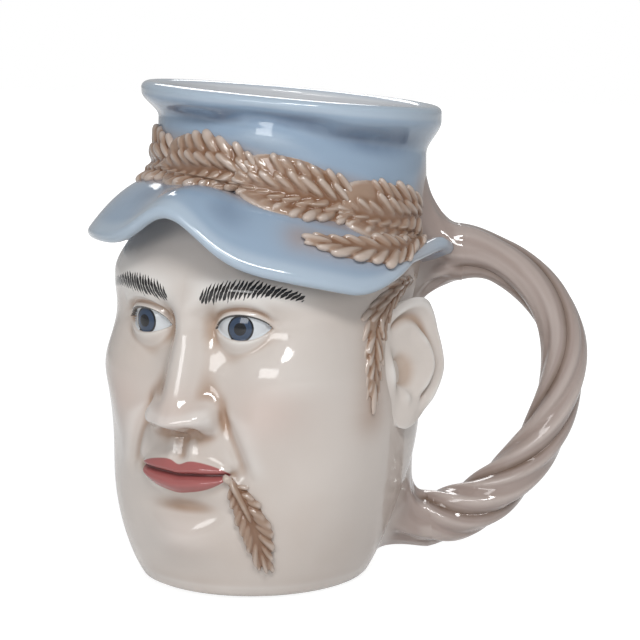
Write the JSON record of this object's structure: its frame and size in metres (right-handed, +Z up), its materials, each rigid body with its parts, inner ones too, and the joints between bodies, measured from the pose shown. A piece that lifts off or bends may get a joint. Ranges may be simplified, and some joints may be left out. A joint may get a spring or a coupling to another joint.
{
  "type": "character jug",
  "caption": "Glazed porcelain jug cast as a calm head in a floppy blue hat, with wheat sprigs in relief and a handle of twisted straw.",
  "frame": {"origin": "middle of the foot, on the surface that the jug stands on", "axes": "+Z up; -Y the way the face looks; +X towards the handle's side"},
  "size_m": [0.144, 0.1202, 0.153],
  "materials": {
    "skin_glaze": "gloss glaze over a cream body, with painted features",
    "hat_glaze": "gloss glaze over pale blue",
    "wheat_glaze": "gloss glaze over tan, darker in the grooves",
    "straw_glaze": "gloss glaze over a mauve beige"
  },
  "bodies": {
    "root": {"head_shell": "skin_glaze", "left_ear": "skin_glaze", "right_ear": "skin_glaze", "hat_crown": "hat_glaze", "hat_brim": "hat_glaze", "wheat_garland_1": "wheat_glaze", "wheat_garland_2": "wheat_glaze", "wheat_garland_3": "wheat_glaze", "wheat_garland_4": "wheat_glaze", "wheat_garland_5": "wheat_glaze", "wheat_garland_6": "wheat_glaze", "wheat_garland_7": "wheat_glaze", "wheat_garland_8": "wheat_glaze", "wheat_brim": "wheat_glaze", "wheat_temple": "wheat_glaze", "wheat_mouth": "wheat_glaze", "handle_straw_1": "straw_glaze", "handle_straw_2": "straw_glaze", "handle_straw_3": "straw_glaze", "handle_upper_root": "straw_glaze", "handle_lower_root": "straw_glaze"}
  },
  "joints": []
}
